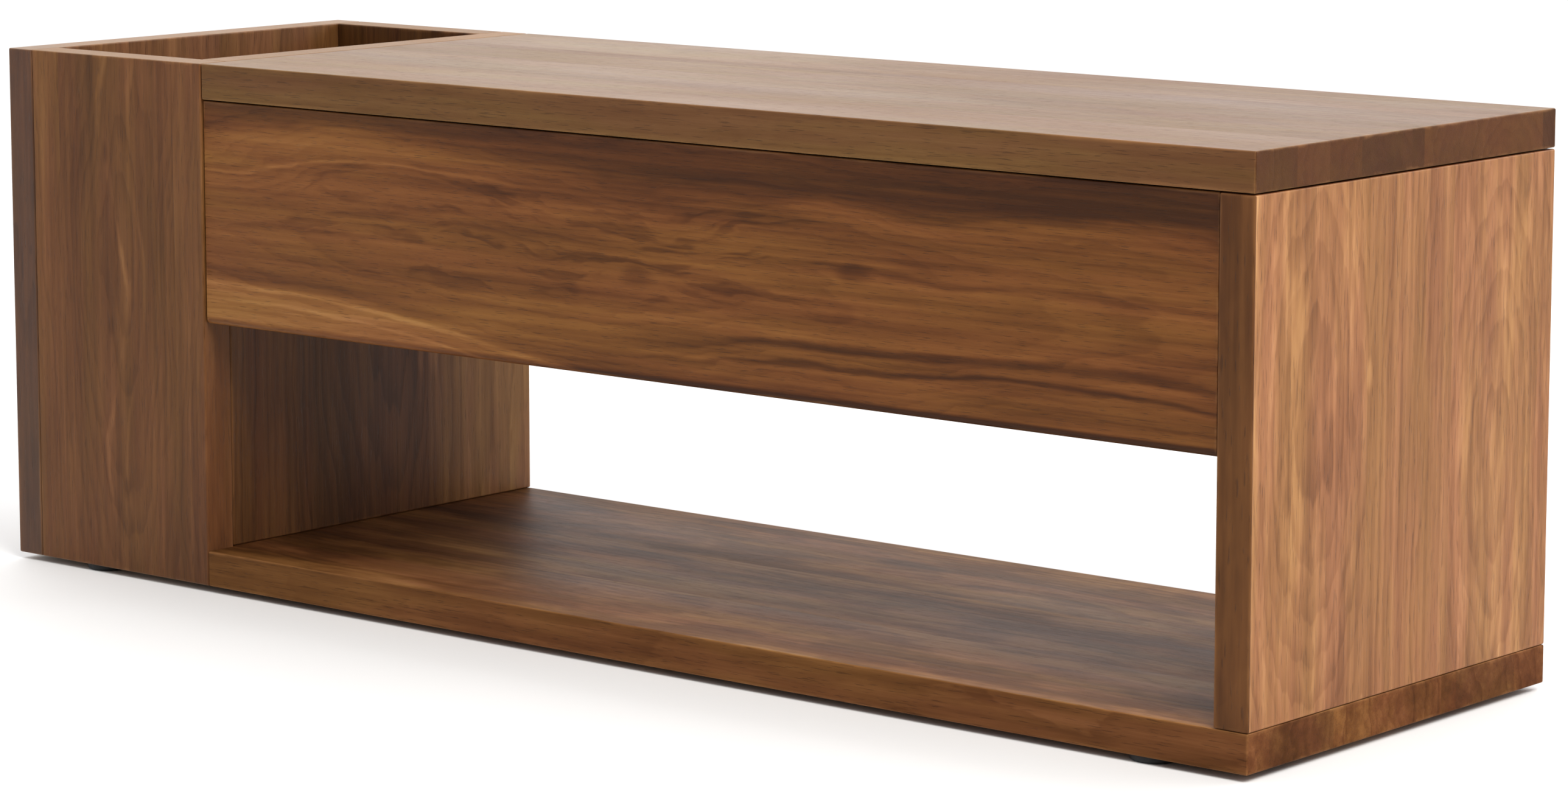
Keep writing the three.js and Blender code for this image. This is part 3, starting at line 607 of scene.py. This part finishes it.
# Each board: name, CAD node, body, material slot and look.
BOARDS = [
    ("base_shelf", "base_board", "carcass", "walnut_front", dict(
        grain=X, across=Y, seed=3.1, tones=BROWN, stretch=7.0, roughness=0.50, gloss=0.055,
        edge_tone=-0.24, end=0.6, broad=0.9, paint=shelf_figure_and_shade,
        staves=[(0.0, 0.05, -0.1, 0.22), (-0.07, 0.16, 0.2, 0.25), (0.05, 0.06, 0.1, 0.21)])),
    ("left_end", "left_end_panel", "carcass", "walnut_pillar", dict(
        grain=Z, across=Y, seed=8.4, tones=BROWN, end=0.0, rim=0.75, gloss=0.3,
        staves=[(0.0, 0.05, 0.0, -0.18), (-0.15, -0.01, 0.1, 0.16), (0.02, 0.3, 0.0, 0.10)])),
    ("right_end", "right_end_panel", "carcass", "walnut_end", dict(
        grain=Z, across=Y, seed=5.7, tones=PALE, ring=0.0070, stretch=3.2, ring_depth=0.12,
        broad=0.35, streak=0.55, calm=0.35, edge_calm=0.85, paint=end_figure_and_shade,
        staves=[(0.0, -0.112, 0.03, 0.05), (-0.050, 0.32, 0.0, 0.0), (0.055, 0.112, -0.04, 0.03)])),
    ("pillar_front", "pillar_front_panel", "carcass", "walnut_pillar", dict(
        grain=Z, across=X, seed=2.2, tones=BROWN, stretch=5.0, ring=0.007, ring_depth=0.09,
        sway=0.10, end=0.0, rim=0.75, edge_tone=0.10, paint=pillar_figure,
        staves=[(0.0, 0.3, 0.0, 0.10), (-0.067, 0.012, 0.05, 0.0), (0.066, 0.3, 0.0, -0.05)])),
    ("divider", "divider_panel", "carcass", "walnut_pillar", dict(
        grain=Z, across=Y, seed=6.3, tones=BROWN, stretch=6.0, end=0.0, rim=0.75,
        paint=divider_painted_light_and_curls,
        staves=[(0.0, -0.3, 0.0, 0.0), (-0.10, 0.0, 0.1, -0.04), (0.05, 0.11, -0.1, 0.04)])),
    # The bin's back panel is toned darker than the other boards: painted shade inside the bin.
    ("bin_back", "bin_back_panel", "carcass", "walnut_pillar", dict(
        grain=Z, across=X, seed=7.9, tones=BROWN, end=0.0, rim=0.75,
        staves=[(0.0, 0.2, 0.0, -0.16), (-0.01, 0.04, 0.1, -0.12)])),
    ("apron_front", "front_apron", "carcass", "walnut_front", dict(
        grain=X, across=Z, seed=1.0, tones=WARM, stretch=11.0, pith=0.016, ring=0.0075,
        ring_depth=0.085, sway=0.09, ripple=0.022, broad=0.60, streak=0.55, paint=apron_figure,
        staves=[(0.0, -0.012, -0.14, 0.0)])),
    ("apron_back", "back_apron", "carcass", "walnut_front", dict(
        grain=X, across=Z, seed=4.6, tones=WARM, staves=[(0.0, 0.01, 0.2, 0.0)])),
    ("store_floor", "compartment_floor", "carcass", "walnut_front", dict(
        grain=X, across=Y, seed=9.2, tones=WARM,
        staves=[(0.0, 0.02, -0.2, 0.0), (-0.06, 0.3, 0.0, 0.04), (0.06, 0.12, 0.2, -0.04)])),
    ("lid_top", "lid_panel", "lid", "walnut_lid", dict(
        grain=X, across=Y, seed=1.8, tones=TOP, gloss=0.088, end=0.9, edge_tone=-0.20,
        broad=0.28, flame=0.20, streak=0.20, ring_depth=0.07, paint=lid_painted_sheen,
        staves=[(0.0, 0.3, 0.0, 0.05), (-0.10, -0.03, -0.1, 0.0), (0.0, 0.22, 0.0, -0.04),
                (0.09, 0.13, 0.2, 0.03)])),
]

for piece_name, node, body, slot_name, look in BOARDS:
    wood = Walnut(f"walnut_{piece_name}", node, **look).build()
    fit_board(piece_name, node, body, wood)


# ------------------------------------------------------------------ fittings


def powder_coat():
    """Black powder coat on steel, with a fine grit."""
    g = Graph("black_powder_coat")
    point = g.join(*g.place)
    grit = g.sub(g.noise(point, 2600.0, 2.0), 0.5)
    cloud = g.sub(g.noise(point, 38.0, 2.0), 0.5)
    colour = g.ramp(g.add(0.5, g.mul(cloud, 0.8)), [(0.0, "16171a"), (1.0, "2b2d30")])
    roughness = g.add(0.46, g.mul(cloud, 0.18))
    return g.finish(colour, roughness, grit, 0.00006, metallic=0.35)


def bare_metal(name, dark, light, rough):
    """Plated or drawn metal, slightly cloudy and finely scratched."""
    g = Graph(name)
    point = g.join(*g.place)
    scratch = g.sub(g.noise(g.join(g.mul(g.place[0], 90.0), g.place[1], g.place[2]), 700.0), 0.5)
    cloud = g.sub(g.noise(point, 120.0, 3.0), 0.5)
    colour = g.ramp(g.add(0.5, g.mul(cloud, 0.9)), [(0.0, dark), (1.0, light)])
    roughness = g.add(rough, g.mul(g.add(cloud, scratch), 0.2))
    return g.finish(colour, roughness, scratch, 0.00003, metallic=1.0)


def moulded(name, dark, light, rough):
    """Moulded rubber with a matt grain."""
    g = Graph(name)
    point = g.join(*g.place)
    grain = g.sub(g.noise(point, 1500.0, 2.0), 0.5)
    cloud = g.sub(g.noise(point, 60.0, 2.0), 0.5)
    colour = g.ramp(g.add(0.5, g.mul(cloud, 0.8)), [(0.0, dark), (1.0, light)])
    return g.finish(colour, g.add(rough, g.mul(cloud, 0.15)), grain, 0.00008)


def dowel_wood():
    """Pale beech."""
    g = Graph("beech_dowel")
    vector = g.join(g.mul(g.place[0], 500.0), g.mul(g.place[1], 500.0), g.mul(g.place[2], 25.0))
    fibre = g.noise(vector, 1.0, 2.0)
    colour = g.ramp(fibre, [(0.25, "b98f5d"), (0.75, "ddbd8e")])
    return g.finish(colour, g.add(0.5, g.mul(fibre, 0.1)), fibre, 0.0001)


FITTINGS = {
    "black_steel": powder_coat(),
    "steel": bare_metal("zinc_plate", "8d9094", "c3c6c9", 0.30),
    "spring_steel": bare_metal("spring_wire", "54585d", "8b8f95", 0.26),
    "rubber": moulded("black_rubber", "0d0d0e", "1f1f20", 0.72),
    "clear_rubber": moulded("milky_rubber", "b9b4a8", "d8d4ca", 0.45),
    "beech": dowel_wood(),
}


def ease(node, source, slot):
    """A fitting with its sharp arrises softened and its round faces made smooth."""
    bm = bmesh.new()
    bm.from_mesh(source.data)
    bmesh.ops.remove_doubles(bm, verts=bm.verts, dist=WELD)
    bmesh.ops.dissolve_limit(bm, angle_limit=FLAT, verts=bm.verts, edges=bm.edges)
    # A spring is round wire, so it is only made smooth.
    if slot != "spring_steel":
        corners = [e for e in bm.edges if len(e.link_faces) == 2]
        sharp = [e for e in corners if e.calc_face_angle() > SHARP]
        bmesh.ops.bevel(
            bm, geom=sharp, offset=FITTING_ROUND, segments=2, profile=0.5, affect="EDGES",
            clamp_overlap=True,
        )
    piece = smooth_piece(f"{node}_eased", bm)
    piece.data.materials.append(FITTINGS[slot])
    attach(piece, source["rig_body"])
    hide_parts(node)


slot_of = {row["node"]: row["material_slot"] for row in frame["record"]["subparts"]}
for node, source in frame["nodes"].items():
    if slot_of[node] in FITTINGS:
        ease(node, source, slot_of[node])


# ------------------------------------------------------------------ floor, light and camera

FLOOR_HALF = 30.0
FLOOR_DROP = 0.2 * MM
# How bright the surround is on the camera's side and behind the table, and how it changes.
WORLD_NEAR, WORLD_FAR = 0.35, 1.78
WORLD_RISE = 0.6
WORLD_FADE = (-0.35, 0.95)
WARM_LIGHT, WHITE_LIGHT = (1.0, 0.97, 0.93), (1.0, 1.0, 1.0)
VIEW_AZIMUTH, VIEW_DOWN = math.radians(40.03), math.radians(8.12)
VIEW_DISTANCE = 3.67
FOCAL, SENSOR, SHIFT = 110.2, 36.0, -0.05
AIM_OFFSET = Vector((0.030, 0.028, 0.024))


def pale_floor():
    """A wide floor just under the feet."""
    mesh = bpy.data.meshes.new("floor")
    half = FLOOR_HALF
    corners = [(-half, -half, 0), (half, -half, 0), (half, half, 0), (-half, half, 0)]
    mesh.from_pydata(corners, [], [(0, 1, 2, 3)])
    floor = add_to_scene("floor", mesh)
    floor.location.z = cad_lo[2] - FLOOR_DROP
    g = Graph("pale_floor")
    cloud = g.noise(g.join(*g.place), 3.0)
    colour = g.ramp(cloud, [(0.0, "e9e9e9"), (1.0, "efefef")])
    mesh.materials.append(g.finish(colour, 0.7, 0.0, 0.0001))


def studio_world():
    """A white surround that is brighter behind the table than on the camera's side."""
    world = bpy.data.worlds.new("studio")
    world.use_nodes = True
    tree = world.node_tree
    coords = tree.nodes.new("ShaderNodeTexCoord")
    toward = tree.nodes.new("ShaderNodeVectorMath")
    toward.operation = "DOT_PRODUCT"
    toward.inputs[1].default_value = (-math.sin(VIEW_AZIMUTH), math.cos(VIEW_AZIMUTH), WORLD_RISE)
    tree.links.new(coords.outputs["Generated"], toward.inputs[0])
    spread = tree.nodes.new("ShaderNodeMapRange")
    spread.interpolation_type = "SMOOTHSTEP"
    for socket, value in zip(spread.inputs[1:5], (*WORLD_FADE, WORLD_NEAR, WORLD_FAR)):
        socket.default_value = value
    tree.links.new(toward.outputs["Value"], spread.inputs[0])
    backdrop = tree.nodes["Background"]
    backdrop.inputs[0].default_value = (1.0, 1.0, 1.0, 1.0)
    tree.links.new(spread.outputs[0], backdrop.inputs[1])
    bpy.context.scene.world = world


def soft_light(name, place, aim, size, power, colour):
    """A rectangular light at a place, turned towards another."""
    data = bpy.data.lights.new(name, "AREA")
    data.shape = "RECTANGLE"
    data.size, data.size_y = size
    data.energy = power
    data.color = colour
    lamp = add_to_scene(name, data)
    lamp.location = place
    lamp.rotation_mode = "QUATERNION"
    lamp.rotation_quaternion = (Vector(aim) - Vector(place)).to_track_quat("-Z", "Y")


def photo_camera():
    """A camera at the photograph's angle, turned to just beside the middle of the table."""
    centre = (Vector(cad_lo) + Vector(cad_hi)) / 2
    level = math.cos(VIEW_DOWN)
    back = Vector((
        math.sin(VIEW_AZIMUTH) * level, -math.cos(VIEW_AZIMUTH) * level, math.sin(VIEW_DOWN)
    ))
    lens = bpy.data.cameras.new("camera")
    lens.lens, lens.sensor_width, lens.shift_y = FOCAL, SENSOR, SHIFT
    camera = add_to_scene("camera", lens)
    camera.location = centre + AIM_OFFSET + back * VIEW_DISTANCE
    camera.rotation_mode = "QUATERNION"
    camera.rotation_quaternion = (-back).to_track_quat("-Z", "Y")
    bpy.context.scene.camera = camera


pale_floor()
studio_world()
bpy.context.scene.view_settings.view_transform = "Standard"
soft_light(
    "key_right", place=(2.6, -1.2, 3.0), aim=(0.2, 0.0, 0.2), size=(1.8, 1.8), power=120.0,
    colour=WARM_LIGHT,
)
soft_light(
    "window_back", place=(1.7, 2.9, 1.5), aim=(0.0, 0.0, 0.1), size=(2.4, 1.2), power=25.0,
    colour=WHITE_LIGHT,
)
photo_camera()
